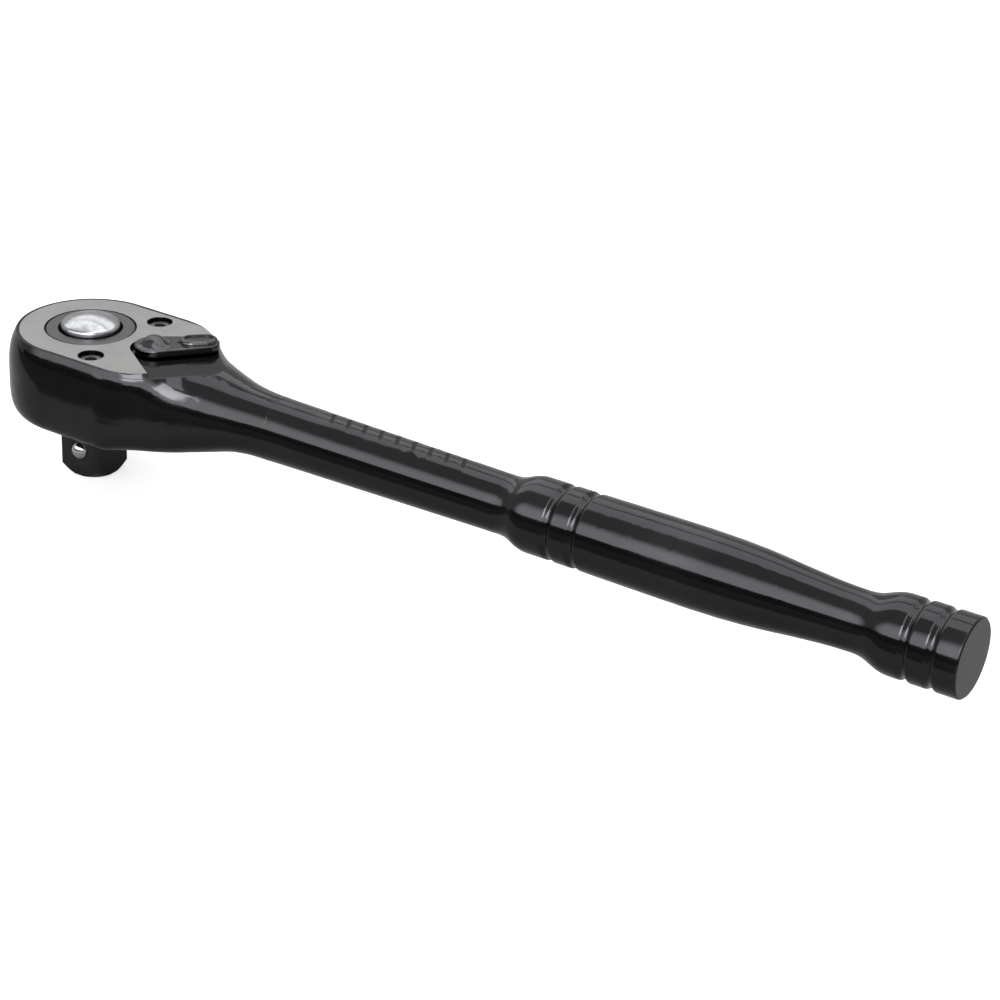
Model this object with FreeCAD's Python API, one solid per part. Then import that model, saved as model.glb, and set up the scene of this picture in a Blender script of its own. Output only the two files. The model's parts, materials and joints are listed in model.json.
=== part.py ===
import FreeCAD, Part
import math
import os

# Reversible ratchet wrench with a quick-release square drive.
# Millimetres. Origin: on the drive axis, at the shoulder that the square grows from.
# +Z points out of the release button, +X runs along the handle to its butt.

# Driving dimensions: drive and gear
SQUARE_SIDE = 9.53
SQUARE_CORNER_RADIUS = 6.35
SQUARE_LENGTH = 11.0
SQUARE_TIP_CHAMFER = 1.5
SHOULDER_HEIGHT = 1.0
JOURNAL_RADIUS = 8.0
GEAR_HUB_RADIUS = 8.72
TOOTH_COUNT = 48
TOOTH_TIP_RADIUS = 9.4
TOOTH_DEPTH = 0.6
TOOTH_LAND = 0.25
EDGE_BREAK = 0.3

# Driving dimensions: head
HEAD_HEIGHT = 18.1
AXIS_DEPTH = 8.6
HEAD_RADIUS = 15.85
HEAD_FLOOR = 4.5
HEAD_CROWN = 1.523
PLATE_THICKNESS = 2.8
FLAT_DROP = 0.85
PARALLEL_LENGTH = 13.0
NECK_END = 46.0

# Driving dimensions: handle
HANDLE_LENGTH = 185.7
NECK_RADIUS = 6.2
SHANK_STEP = 0.02
SPIGOT_LENGTH = 3.0
SHANK_RADIUS = 5.5
COLLAR_RADIUS = 7.07
GRIP_RADIUS = 7.18
WAIST_RADIUS = 5.42
REAR_COLLAR_RADIUS = 7.15
SHANK_END = 96.5
COLLAR_START = 103.0
GROOVE_WIDTH = 2.3
GROOVE_DEPTH = 0.5
FRONT_GROOVE_ENDS = (109.1, 114.2)
REAR_GROOVE_ENDS = (177.1, 181.8)
WAIST_X = 165.6
REAR_COLLAR_START = 173.3
BUTT_CHAMFER = 0.3
MARK_COUNT = 9
MARK_START = 58.0
MARK_PITCH = 3.6
MARK_WIDTH = 0.7
MARK_LENGTH = 3.6
MARK_DEPTH = 0.3
MARK_SLANT = 25.0

# How far an edge may stray from a level and still count as lying on it
EDGE_TOLERANCE = 1e-4

# Driving dimensions: cover plate and its screws
PLATE_FRONT_RADIUS = 13.6
PLATE_HALF_WIDTH = 13.5
PLATE_TIP = (22.3, 10.0)
PLATE_SHOULDER_X = 15.6
SCREW_POSITION = (8.81, 10.2)
SCREW_RADIUS = 1.5
SCREW_LENGTH = 7.0
SCREW_HEAD_RADIUS = 2.42
SCREW_HEAD_HEIGHT = 1.2
SCREW_HEAD_SINK = 0.8
SCREW_SOCKET_RADIUS = 1.25

# Driving dimensions: release button, pin and ball
BUTTON_RADIUS = 5.7
BUTTON_FLANGE_WIDTH = 0.43
BUTTON_RISE = 2.6
BUTTON_CYLINDER_RISE = 0.45
BUTTON_EDGE_RADIUS = 0.5
BUTTON_SKIRT = 3.5
BUTTON_FLANGE_HEIGHT = 1.0
BUTTON_TRAVEL = 2.0
BUTTON_WELL_DEPTH = 7.7
BUTTON_SPRING_RADIUS = 3.0
BUTTON_SPRING_WIRE = 0.6
BUTTON_SPRING_TURNS = 3
PIN_END_BELOW_BALL = 1.7
BALL_RADIUS = 1.985
BALL_PROTRUSION = 0.95
BALL_LEVEL = -5.8
BALL_DISH_RADIUS = 3.2
BALL_DISH_DEPTH = 0.3

# Driving dimensions: reversing lever and pawl
LEVER_PIVOT_X = 15.8
LEVER_REST_ANGLE = 44.0
LEVER_HUB_RADIUS = 3.75
LEVER_TIP_RADIUS = 2.6
LEVER_REACH = 9.9
LEVER_THICKNESS = 1.45
LEVER_EDGE_RADIUS = 0.35
LEVER_BOSS_RADIUS = 3.35
LEVER_BOSS_RISE = 1.6
LEVER_DOT_REACH = 4.7
LEVER_DOT_RADIUS = 0.35
LEVER_DOT_DEPTH = 0.3
LEVER_PAD_RISE = 0.8
LEVER_PAD_LENGTH = 2.8
LEVER_RECESS_DEPTH = 0.3
LEVER_RECESS_RADIUS = 1.35
SPINDLE_RADIUS = 2.9
SPINDLE_NECK_RADIUS = 2.2
SPINDLE_FOOT_DEPTH = 2.6
PLUNGER_RADIUS = 0.9
PLUNGER_LENGTH = 2.3
LEVER_SPRING_RADIUS = 0.6
LEVER_SPRING_WIRE = 0.28
LEVER_SPRING_TURNS = 4
PAWL_ROCK = 2.8
PAWL_END_ANGLE = 38.0
PAWL_END_DEPTH = 2.3
PAWL_HORN = (14.0, 3.1)
PAWL_TOOTHLESS_HALF = 3.6

# Driving dimensions: seals, washer and retaining ring
WASHER_THICKNESS = 0.7
GEAR_SEAL_SECTION = 0.6
LEVER_SEAL_SECTION = 0.36
RING_THICKNESS = 0.5
RING_SEAT_DEPTH = 0.4

# Named clearances
RUNNING_GAP = 0.05
FACE_GAP = 0.1
THRUST_GAP = 0.05
PLATE_GAP = 0.05
HUB_GAP = 0.16
SCREW_HEAD_GAP = 0.08
LEVER_ROOF = 0.35
TOOTH_GAP = 0.05
TOOTH_TIP_GAP = 0.3
POCKET_GAP = 0.3
BALL_GAP = 0.035
PIN_GAP = 0.08
SEAL_GAP = 0.02
SCREW_GAP = 0.05
LEVER_GAP = 0.2
NOTCH_GAP = 0.85
PIN_REST_GAP = 0.025

# Levels worked out from the sizes above
UNDERSIDE = SHOULDER_HEIGHT
TOP = UNDERSIDE + HEAD_HEIGHT
AXIS_Z = TOP - AXIS_DEPTH
SEAT = TOP - PLATE_THICKNESS
FLAT = TOP - FLAT_DROP
CAVITY_FLOOR = UNDERSIDE + HEAD_FLOOR
GEAR_BOTTOM = CAVITY_FLOOR + THRUST_GAP
GEAR_TOP = SEAT - WASHER_THICKNESS - 2 * THRUST_GAP
CAVITY_RADIUS = TOOTH_TIP_RADIUS + TOOTH_TIP_GAP
WELL_FLOOR = TOP - BUTTON_WELL_DEPTH
BUTTON_BOTTOM = TOP - BUTTON_SKIRT
PAWL_BOTTOM = CAVITY_FLOOR + FACE_GAP
PAWL_TOP = GEAR_TOP - FACE_GAP
POCKET_TOP = GEAR_TOP + FACE_GAP
SPINDLE_FOOT = CAVITY_FLOOR - SPINDLE_FOOT_DEPTH
SPINDLE_BORE_RADIUS = SPINDLE_RADIUS + RUNNING_GAP
LEVER_BOTTOM = FLAT + LEVER_GAP
LEVER_TOP = LEVER_BOTTOM + LEVER_THICKNESS
PLUNGER_LEVEL = (PAWL_BOTTOM + PAWL_TOP) / 2
BALL_Y = -(SQUARE_SIDE / 2 + BALL_PROTRUSION - BALL_RADIUS)
BUTTON_FLANGE_RADIUS = BUTTON_RADIUS + BUTTON_FLANGE_WIDTH
WELL_RADIUS = BUTTON_FLANGE_RADIUS + FACE_GAP
PIN_RADIUS = -BALL_Y - BALL_RADIUS - PIN_REST_GAP
NOTCH_RADIUS = LEVER_HUB_RADIUS + NOTCH_GAP
PAWL_END_RADIUS = TOOTH_TIP_RADIUS + PAWL_END_DEPTH
PAWL_BACK_RADIUS = SPINDLE_RADIUS + 4 * RUNNING_GAP

Z_AXIS = FreeCAD.Vector(0, 0, 1)
X_AXIS = FreeCAD.Vector(1, 0, 0)


def vec(x, y, z=0.0):
    return FreeCAD.Vector(x, y, z)


def cylinder(radius, bottom, top, x=0.0, y=0.0):
    return Part.makeCylinder(radius, top - bottom, vec(x, y, bottom))


def tube(outer, inner, bottom, top, x=0.0, y=0.0):
    return cylinder(outer, bottom, top, x, y).cut(cylinder(inner, bottom - 1, top + 1, x, y))


def prism(edges, bottom, top):
    face = Part.Face(Part.Wire(edges))
    face.translate(vec(0, 0, bottom))
    return face.extrude(vec(0, 0, top - bottom))


def polygon_prism(points, bottom, top):
    corners = [vec(x, y) for x, y in points]
    edges = Part.makePolygon(corners + corners[:1]).Edges
    return prism(edges, bottom, top)


def revolve(points, axis_x=0.0, axis_y=0.0):
    """Turn an outline of (radius, z) points about an upright axis."""
    corners = [vec(axis_x + radius, axis_y, z) for radius, z in points]
    face = Part.Face(Part.makePolygon(corners + corners[:1]))
    return face.revolve(vec(axis_x, axis_y), Z_AXIS, 360)


def torus(ring_radius, section_radius, z, x=0.0):
    return Part.makeTorus(ring_radius, section_radius, vec(x, 0, z))


def turned(shape, angle, x=0.0):
    copy = shape.copy()
    copy.rotate(vec(x, 0), Z_AXIS, angle)
    return copy


def polar(radius, angle):
    return (radius * math.cos(math.radians(angle)), radius * math.sin(math.radians(angle)))


def coil(mean_radius, wire, turns, bottom, top):
    """Close a round-wire helix between two levels on the Z axis."""
    height = top - bottom - wire
    helix = Part.makeHelix(height / turns, height, mean_radius)
    helix.translate(vec(0, 0, bottom + wire / 2))
    start = vec(mean_radius, 0, bottom + wire / 2)
    section = Part.Wire(Part.makeCircle(wire / 2, start, vec(0, 1, 0)))
    return Part.Wire(helix.Edges).makePipeShell([section], True, True)


# Body of the wrench

def section_points(half_width, rise, rise_power, drop, drop_power):
    """Right half of a superellipse round the handle axis, squarer where its power is higher."""
    points = []
    steps = 24
    for step in range(steps + 1):
        angle = math.pi * (step / steps - 0.5)
        across = math.cos(angle)
        upward = math.sin(angle)
        power = rise_power if upward > 0 else drop_power
        height = rise if upward > 0 else drop
        y = half_width * abs(across) ** (2 / power)
        z = height * math.copysign(abs(upward) ** (2 / power), upward)
        points.append((y, z))
    return points


def section_edge(x, sizes):
    """Right half of a section, from its lowest point to its highest."""
    outline = [vec(x, y, AXIS_Z + z) for y, z in section_points(*sizes)]
    outline[0].y = 0.0
    outline[-1].y = 0.0
    curve = Part.BSplineCurve()
    curve.interpolate(Points=outline, InitialTangent=vec(0, 1, 0), FinalTangent=vec(0, -1, 0))
    return curve.toShape()


def section_wire(x, sizes):
    right = section_edge(x, sizes)
    left = right.mirror(vec(0, 0), vec(0, 1, 0))
    return Part.Wire([right, left])


def head_sizes():
    """Half width, rise, its power, drop and its power of the head's section."""
    return (HEAD_RADIUS, HEAD_CROWN * AXIS_DEPTH, 3.0, HEAD_HEIGHT - AXIS_DEPTH, 5.0)


def neck_stations():
    """Share of the neck's run, then the sizes of the section there."""
    rise = HEAD_CROWN * AXIS_DEPTH
    drop = HEAD_HEIGHT - AXIS_DEPTH
    blend = HEAD_RADIUS - NECK_RADIUS
    round_end = (NECK_RADIUS, NECK_RADIUS, 2.0, NECK_RADIUS, 2.0)
    return (
        (0.0, head_sizes()),
        (0.16, (NECK_RADIUS + 0.89 * blend, 0.970 * rise, 2.9, drop, 3.3)),
        (0.29, (NECK_RADIUS + 0.67 * blend, 0.875 * rise, 2.7, 0.986 * drop, 3.0)),
        (0.39, (NECK_RADIUS + 0.49 * blend, 0.695 * rise, 2.45, 0.950 * drop, 2.85)),
        (0.57, (NECK_RADIUS + 0.27 * blend, 0.590 * rise, 2.2, 0.820 * drop, 2.45)),
        (0.77, (NECK_RADIUS + 0.085 * blend, 0.500 * rise, 2.05, 0.666 * drop, 2.1)),
        (1.0, round_end),
    )


def eased(stations, share):
    """Sizes at any share of the run, on a smooth curve through the stations."""
    last = len(stations) - 1
    index = min(sum(1 for place, _ in stations[1:] if place <= share), last - 1)
    start, before = stations[index]
    end, after = stations[index + 1]
    step = (share - start) / (end - start)
    sizes = []
    for entry in range(len(before)):
        slopes = []
        for knot in (index, index + 1):
            low = stations[max(knot - 1, 0)]
            high = stations[min(knot + 1, last)]
            level = 0.0 if knot in (0, last) else (high[1][entry] - low[1][entry]) / (high[0] - low[0])
            slopes.append(level * (end - start))
        rise = 3 * step ** 2 - 2 * step ** 3
        leave = step * (1 - step) ** 2
        arrive = step ** 2 * (step - 1)
        gap = after[entry] - before[entry]
        sizes.append(before[entry] + rise * gap + leave * slopes[0] + arrive * slopes[1])
    return sizes


def neck():
    sections = 14
    run = NECK_END - PARALLEL_LENGTH
    stations = neck_stations()
    wires = []
    for number in range(sections + 1):
        share = number / sections
        wires.append(section_wire(PARALLEL_LENGTH + share * run, eased(stations, share)))
    return Part.makeLoft(wires, True, False)


def head_blank():
    """Round nose, parallel cheeks, and a neck that runs down to the round shank."""
    edge = section_edge(0.0, head_sizes())
    bottom, top = edge.Vertexes[0].Point, edge.Vertexes[-1].Point
    half_face = Part.Face(Part.Wire([edge, Part.LineSegment(top, bottom).toShape()]))
    nose = half_face.revolve(vec(0, 0), Z_AXIS, 180)
    far_cheek = half_face.extrude(vec(PARALLEL_LENGTH, 0, 0))
    near_cheek = far_cheek.mirror(vec(0, 0), vec(0, 1, 0))
    return nose.fuse(far_cheek).fuse(near_cheek).fuse(neck())


def handle_point(x, radius):
    return vec(x, 0, AXIS_Z + radius)


def flare(start, end):
    """S-shaped edge that leaves and arrives parallel to the handle axis."""
    curve = Part.BezierCurve()
    run = end[0] - start[0]
    middle = (start[0] + 0.48 * run, start[1]), (start[0] + 0.52 * run, end[1])
    curve.setPoles([handle_point(*point) for point in (start, *middle, end)])
    return curve.toShape()


def line_edges(points):
    return Part.makePolygon([handle_point(x, radius) for x, radius in points]).Edges


def groove_edges(radius, end):
    """One turned groove, rounded at its shoulders and its floor."""
    start = end - GROOVE_WIDTH
    floor = ((start + end) / 2, radius - GROOVE_DEPTH)
    return [flare((start, radius), floor), flare(floor, (end, radius))]


def collar_edges(radius, start, groove_ends):
    """A turned collar from its front to the end of its last groove."""
    edges = []
    for end in groove_ends:
        edges += line_edges([(start, radius), (end - GROOVE_WIDTH, radius)])
        edges += groove_edges(radius, end)
        start = end
    return edges


def grip_edge():
    curve = Part.BSplineCurve()
    last_groove = FRONT_GROOVE_ENDS[-1]
    run = WAIST_X - last_groove
    fall = GRIP_RADIUS - WAIST_RADIUS
    points = [
        handle_point(last_groove, COLLAR_RADIUS),
        handle_point(last_groove + 0.27 * run, GRIP_RADIUS),
        handle_point(last_groove + 0.62 * run, WAIST_RADIUS + 0.81 * fall),
        handle_point(WAIST_X, WAIST_RADIUS),
    ]
    rise = 0.01
    curve.interpolate(Points=points, InitialTangent=vec(1, 0, rise), FinalTangent=vec(1, 0, 0))
    return curve.toShape()


def handle_blank():
    """Shank, grooved front collar, swelling grip, waist and grooved butt, turned in one outline.

    A spigot at its front end sits inside the neck, so the two join as one forging.
    """
    start = (NECK_END, NECK_RADIUS - SHANK_STEP)
    spigot = (NECK_END - SPIGOT_LENGTH, NECK_RADIUS - SPIGOT_LENGTH)
    shank_end = (SHANK_END, SHANK_RADIUS)
    collar = (COLLAR_START, COLLAR_RADIUS)
    waist = (WAIST_X, WAIST_RADIUS)
    rear = (REAR_COLLAR_START, REAR_COLLAR_RADIUS)
    edges = line_edges([(spigot[0], 0), spigot, (NECK_END, spigot[1]), start, shank_end])
    edges.append(flare(shank_end, collar))
    edges += collar_edges(COLLAR_RADIUS, COLLAR_START, FRONT_GROOVE_ENDS)
    edges.append(grip_edge())
    edges.append(flare(waist, rear))
    butt = [
        (REAR_GROOVE_ENDS[-1], REAR_COLLAR_RADIUS),
        (HANDLE_LENGTH - BUTT_CHAMFER, REAR_COLLAR_RADIUS),
        (HANDLE_LENGTH, REAR_COLLAR_RADIUS - BUTT_CHAMFER),
        (HANDLE_LENGTH, 0),
        (spigot[0], 0),
    ]
    edges += collar_edges(REAR_COLLAR_RADIUS, REAR_COLLAR_START, REAR_GROOVE_ENDS)
    edges += line_edges(butt)
    face = Part.Face(Part.Wire(edges))
    return face.revolve(vec(0, 0, AXIS_Z), X_AXIS, 360)


def shank_marks():
    """Row of shallow slanted strokes cut across the top of the shank."""
    taper = (NECK_RADIUS - SHANK_RADIUS) / (SHANK_END - NECK_END)
    marks = []
    for number in range(MARK_COUNT):
        x = MARK_START + number * MARK_PITCH
        surface = AXIS_Z + NECK_RADIUS - taper * (x - NECK_END)
        corner = vec(x - MARK_WIDTH / 2, -MARK_LENGTH / 2, surface - MARK_DEPTH)
        mark = Part.makeBox(MARK_WIDTH, MARK_LENGTH, 1, corner)
        mark.rotate(vec(x, 0), Z_AXIS, MARK_SLANT)
        marks.append(mark)
    return marks


def notch_angle():
    """Angle of the notch flanks: from a tangent of the notch circle to the plate's rear tip."""
    run = PLATE_TIP[0] - LEVER_PIVOT_X
    reach = math.hypot(run, PLATE_TIP[1])
    return math.degrees(math.atan2(PLATE_TIP[1], run) - math.asin(NOTCH_RADIUS / reach))


def notch_wedge(radius, length, bottom, top):
    """Wedge that opens towards the handle from a round apex about the lever's pivot."""
    angle = notch_angle()
    tangent_x, tangent_y = polar(radius, angle + 90)
    far_x, far_y = polar(length, angle)
    near = (LEVER_PIVOT_X + tangent_x, tangent_y)
    far = (near[0] + far_x, near[1] + far_y)
    outline = [near, far, (far[0], -far[1]), (near[0], -near[1])]
    wedge = polygon_prism(outline, bottom, top)
    return wedge.fuse(cylinder(radius, bottom, top, LEVER_PIVOT_X))


def plate_outline(gap):
    """Edges of the plate grown by a gap: round nose, parallel sides, tapered rear shoulders."""
    front = PLATE_FRONT_RADIUS + gap
    half = PLATE_HALF_WIDTH + gap
    side_x = math.sqrt(front ** 2 - half ** 2)
    shoulder = PLATE_SHOULDER_X
    tip_x = PLATE_TIP[0] + 2 * gap
    tip_y = PLATE_TIP[1] + gap
    bend = (shoulder + 0.42 * (tip_x - shoulder), half - 0.2 * (half - tip_y))
    sides = []
    for side in (1, -1):
        arc = Part.Arc(vec(shoulder, side * half), vec(bend[0], side * bend[1]), vec(tip_x, side * tip_y))
        sides.append(Part.LineSegment(vec(side_x, side * half), vec(shoulder, side * half)).toShape())
        sides.append(arc.toShape())
    nose = Part.Arc(vec(side_x, -half), vec(-front, 0), vec(side_x, half)).toShape()
    back = Part.LineSegment(vec(tip_x, tip_y), vec(tip_x, -tip_y)).toShape()
    return Part.__sortEdges__([nose, back] + sides)


def plate_blank(gap, bottom, top):
    plate = prism(plate_outline(gap), bottom, top)
    return plate.cut(notch_wedge(NOTCH_RADIUS - gap, 3 * HEAD_RADIUS, bottom - 1, top + 1))


def pawl_pocket():
    end_x, end_y = polar(PAWL_END_RADIUS + 2 * POCKET_GAP + 0.2, PAWL_END_ANGLE + 2.5)
    front_x, front_y = polar(TOOTH_TIP_RADIUS - 1, PAWL_END_ANGLE + 5)
    horn_x = PAWL_HORN[0] + POCKET_GAP + 0.05
    horn_y = PAWL_HORN[1] + POCKET_GAP + 0.15
    upper = [(0.0, front_y), (front_x, front_y), (end_x, end_y), (horn_x, horn_y)]
    lower = [(x, -y) for x, y in reversed(upper)]
    return polygon_prism(upper + lower, CAVITY_FLOOR, POCKET_TOP)


def screw_places():
    x, y = SCREW_POSITION
    return {"cover_screw_far": (x, y), "cover_screw_near": (x, -y)}


def screw_levels():
    """Top of the head, underside of the head and end of the thread."""
    head_top = TOP - SCREW_HEAD_SINK
    seat = head_top - SCREW_HEAD_HEIGHT
    return head_top, seat, seat - SCREW_LENGTH


def body_cavities():
    pivot = LEVER_PIVOT_X
    ring_bottom, ring_top = ring_levels()
    cavities = [
        cylinder(CAVITY_RADIUS, CAVITY_FLOOR, TOP + 1),
        cylinder(JOURNAL_RADIUS + RUNNING_GAP, UNDERSIDE - 1, CAVITY_FLOOR + 1),
        pawl_pocket(),
        cylinder(SPINDLE_BORE_RADIUS, SPINDLE_FOOT - FACE_GAP, TOP + 1, pivot),
        cylinder(SPINDLE_BORE_RADIUS + RING_SEAT_DEPTH, ring_bottom - FACE_GAP, ring_top + FACE_GAP, pivot),
        plate_blank(PLATE_GAP, SEAT, TOP + 1),
        notch_wedge(NOTCH_RADIUS - PLATE_GAP, 3 * HEAD_RADIUS, FLAT, 2 * TOP),
    ]
    thread_end = screw_levels()[2]
    for x, y in screw_places().values():
        cavities.append(cylinder(SCREW_RADIUS + SCREW_GAP, thread_end - 0.5, TOP + 1, x, y))
    return cavities


def handle_body():
    reach = 3 * HEAD_RADIUS
    above = Part.makeBox(2 * reach, 2 * reach, HEAD_HEIGHT, vec(-reach, -reach, TOP))
    blank = head_blank().cut(above).fuse(handle_blank())
    for cavity in body_cavities() + shank_marks():
        blank = blank.cut(cavity)
    return blank


# Cover plate and screws

def cover_plate():
    plate = plate_blank(0.0, SEAT, TOP)
    plate = plate.cut(cylinder(GEAR_HUB_RADIUS + HUB_GAP, SEAT - 1, TOP + 1))
    seat = screw_levels()[1]
    for x, y in screw_places().values():
        plate = plate.cut(cylinder(SCREW_HEAD_RADIUS + SCREW_HEAD_GAP, seat, TOP + 1, x, y))
        plate = plate.cut(cylinder(SCREW_RADIUS + SCREW_GAP, SEAT - 1, TOP + 1, x, y))
    return plate


def hexagon(radius, bottom, top, x, y):
    corners = [polar(radius, 60 * step) for step in range(6)]
    return polygon_prism([(x + dx, y + dy) for dx, dy in corners], bottom, top)


def cover_screw(x, y):
    head_top, seat, end = screw_levels()
    rounded = SCREW_HEAD_RADIUS - EDGE_BREAK
    outline = [
        (0, end),
        (SCREW_RADIUS - EDGE_BREAK, end),
        (SCREW_RADIUS, end + EDGE_BREAK),
        (SCREW_RADIUS, seat),
        (SCREW_HEAD_RADIUS, seat),
        (SCREW_HEAD_RADIUS, head_top - EDGE_BREAK),
        (rounded, head_top),
        (0, head_top),
    ]
    screw = revolve(outline, x, y)
    return screw.cut(hexagon(SCREW_SOCKET_RADIUS, seat + EDGE_BREAK, head_top + 1, x, y))


# Drive gear with its square

def gear_prism(gap, bottom, top):
    """Ring of straight teeth, grown all round by a gap."""
    tip = TOOTH_TIP_RADIUS + gap
    root = TOOTH_TIP_RADIUS - TOOTH_DEPTH + gap
    pitch = 360.0 / TOOTH_COUNT
    land = math.degrees((TOOTH_LAND / 2 + gap) / TOOTH_TIP_RADIUS)
    floor = pitch / 2 - math.degrees((TOOTH_LAND / 2 - gap) / TOOTH_TIP_RADIUS)
    points = []
    for tooth in range(TOOTH_COUNT):
        middle = tooth * pitch
        points += [polar(root, middle - floor), polar(tip, middle - land)]
        points += [polar(tip, middle + land), polar(root, middle + floor)]
    return polygon_prism(points, bottom, top)


def square_drive():
    half = SQUARE_SIDE / 2
    tip = -SQUARE_LENGTH
    block = Part.makeBox(SQUARE_SIDE, SQUARE_SIDE, SQUARE_LENGTH + 1, vec(-half, -half, tip))
    turned_corners = revolve([
        (0, tip),
        (SQUARE_CORNER_RADIUS - SQUARE_TIP_CHAMFER, tip),
        (SQUARE_CORNER_RADIUS, tip + SQUARE_TIP_CHAMFER),
        (SQUARE_CORNER_RADIUS, 1),
        (0, 1),
    ])
    return block.common(turned_corners)


def ball_hole():
    """Bore for the ball, closed to a rounded lip, with a shallow dish round its mouth."""
    seat = BALL_RADIUS + BALL_GAP
    bore = Part.makeCylinder(seat, -BALL_Y, vec(0, BALL_Y, BALL_LEVEL), vec(0, 1, 0))
    lip = Part.makeSphere(seat, vec(0, BALL_Y, BALL_LEVEL))
    dish_radius = (BALL_DISH_RADIUS ** 2 + BALL_DISH_DEPTH ** 2) / (2 * BALL_DISH_DEPTH)
    dish_y = -SQUARE_SIDE / 2 + BALL_DISH_DEPTH - dish_radius
    dish = Part.makeSphere(dish_radius, vec(0, dish_y, BALL_LEVEL))
    return bore.fuse(lip).fuse(dish)


def pin_end():
    return BALL_LEVEL - PIN_END_BELOW_BALL


def seal_level():
    return (UNDERSIDE + CAVITY_FLOOR) / 2


def drive_gear():
    gear = cylinder(JOURNAL_RADIUS, 0, GEAR_BOTTOM + 1)
    gear = gear.fuse(gear_prism(0.0, GEAR_BOTTOM, GEAR_TOP))
    hub = revolve([
        (0, GEAR_TOP - 1),
        (GEAR_HUB_RADIUS, GEAR_TOP - 1),
        (GEAR_HUB_RADIUS, TOP - EDGE_BREAK),
        (GEAR_HUB_RADIUS - EDGE_BREAK, TOP),
        (0, TOP),
    ])
    gear = gear.fuse(hub).fuse(square_drive())
    groove = GEAR_SEAL_SECTION + FACE_GAP
    level = seal_level()
    inner = JOURNAL_RADIUS - 2 * groove
    gear = gear.cut(tube(JOURNAL_RADIUS + 1, inner, level - groove, level + groove))
    gear = gear.cut(cylinder(WELL_RADIUS, WELL_FLOOR, TOP + 1))
    gear = gear.cut(cylinder(PIN_RADIUS + PIN_GAP, pin_end() - BUTTON_TRAVEL - EDGE_BREAK, TOP))
    return gear.cut(ball_hole())


def gear_seal():
    ring = JOURNAL_RADIUS + RUNNING_GAP - SEAL_GAP - GEAR_SEAL_SECTION
    return torus(ring, GEAR_SEAL_SECTION, seal_level())


def thrust_washer():
    bottom = GEAR_TOP + THRUST_GAP
    return tube(CAVITY_RADIUS - FACE_GAP, GEAR_HUB_RADIUS + HUB_GAP, bottom, bottom + WASHER_THICKNESS)


# Release button, pin, spring and ball

def release_button():
    """Domed cap with a guide flange, bored for the pin."""
    flange_top = BUTTON_BOTTOM + BUTTON_FLANGE_HEIGHT
    edge_z = TOP + BUTTON_CYLINDER_RISE
    crown_z = TOP + BUTTON_RISE
    shoulder = BUTTON_RADIUS - BUTTON_EDGE_RADIUS
    shoulder_z = edge_z + 1.6 * BUTTON_EDGE_RADIUS
    crown = Part.Arc(vec(shoulder, 0, shoulder_z), *dome_points(shoulder, shoulder_z, crown_z)).toShape()
    edge = Part.BezierCurve()
    corner = vec(BUTTON_RADIUS, 0, edge_z + BUTTON_EDGE_RADIUS)
    edge.setPoles([vec(BUTTON_RADIUS, 0, edge_z), corner, vec(shoulder, 0, shoulder_z)])
    outline = [
        vec(0, 0, crown_z),
        vec(0, 0, BUTTON_BOTTOM),
        vec(BUTTON_FLANGE_RADIUS, 0, BUTTON_BOTTOM),
        vec(BUTTON_FLANGE_RADIUS, 0, flange_top),
        vec(BUTTON_RADIUS, 0, flange_top),
        vec(BUTTON_RADIUS, 0, edge_z),
    ]
    edges = Part.makePolygon(outline).Edges + [edge.toShape(), crown]
    cap = Part.Face(Part.Wire(edges)).revolve(vec(0, 0), Z_AXIS, 360)
    return cap.cut(cylinder(PIN_RADIUS, BUTTON_BOTTOM - 1, pin_top()))


def dome_points(radius, low, high):
    """Middle and top of the shallow arc from the shoulder to the crown."""
    rise = high - low
    arc_radius = (radius ** 2 + rise ** 2) / (2 * rise)
    half_angle = math.asin(radius / arc_radius) / 2
    middle = vec(arc_radius * math.sin(half_angle), 0, high - arc_radius * (1 - math.cos(half_angle)))
    return middle, vec(0, 0, high)


def pin_top():
    return TOP - EDGE_BREAK


def release_pin():
    """Pin with a ramp and a waist that let the ball sink in as the button goes down."""
    seat = BALL_RADIUS + BALL_GAP
    travel = math.hypot(BALL_PROTRUSION, BUTTON_TRAVEL)
    toward = (BUTTON_TRAVEL / travel, -BALL_PROTRUSION / travel)
    sunk_radius = -BALL_Y - BALL_PROTRUSION
    sunk_z = BALL_LEVEL + BUTTON_TRAVEL
    ramp_end = (sunk_radius - seat * toward[0], sunk_z + seat * toward[1])
    ramp_run = (PIN_RADIUS - ramp_end[0]) / BALL_PROTRUSION
    ramp_start = (PIN_RADIUS, ramp_end[1] - ramp_run * BUTTON_TRAVEL)
    waist = (sunk_radius - seat, sunk_z)
    waist_end = (PIN_RADIUS, sunk_z + math.sqrt(seat ** 2 - (sunk_radius - PIN_RADIUS) ** 2))
    arc = Part.Arc(vec(ramp_end[0], 0, ramp_end[1]), vec(waist[0], 0, waist[1]),
                   vec(waist_end[0], 0, waist_end[1])).toShape()
    lower = [(0, pin_end()), (PIN_RADIUS - EDGE_BREAK, pin_end()), (PIN_RADIUS, pin_end() + EDGE_BREAK)]
    upper = [waist_end, (PIN_RADIUS, pin_top()), (0, pin_top()), (0, pin_end())]
    edges = Part.makePolygon([vec(r, 0, z) for r, z in lower + [ramp_start, ramp_end]]).Edges
    edges.append(arc)
    edges += Part.makePolygon([vec(r, 0, z) for r, z in upper]).Edges
    return Part.Face(Part.Wire(edges)).revolve(vec(0, 0), Z_AXIS, 360)


def button_spring():
    bottom = WELL_FLOOR + RUNNING_GAP
    return coil(BUTTON_SPRING_RADIUS, BUTTON_SPRING_WIRE, BUTTON_SPRING_TURNS, bottom,
                BUTTON_BOTTOM - RUNNING_GAP)


def detent_ball():
    return Part.makeSphere(BALL_RADIUS, vec(0, BALL_Y, BALL_LEVEL))


# Reversing lever and what its spindle holds

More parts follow.
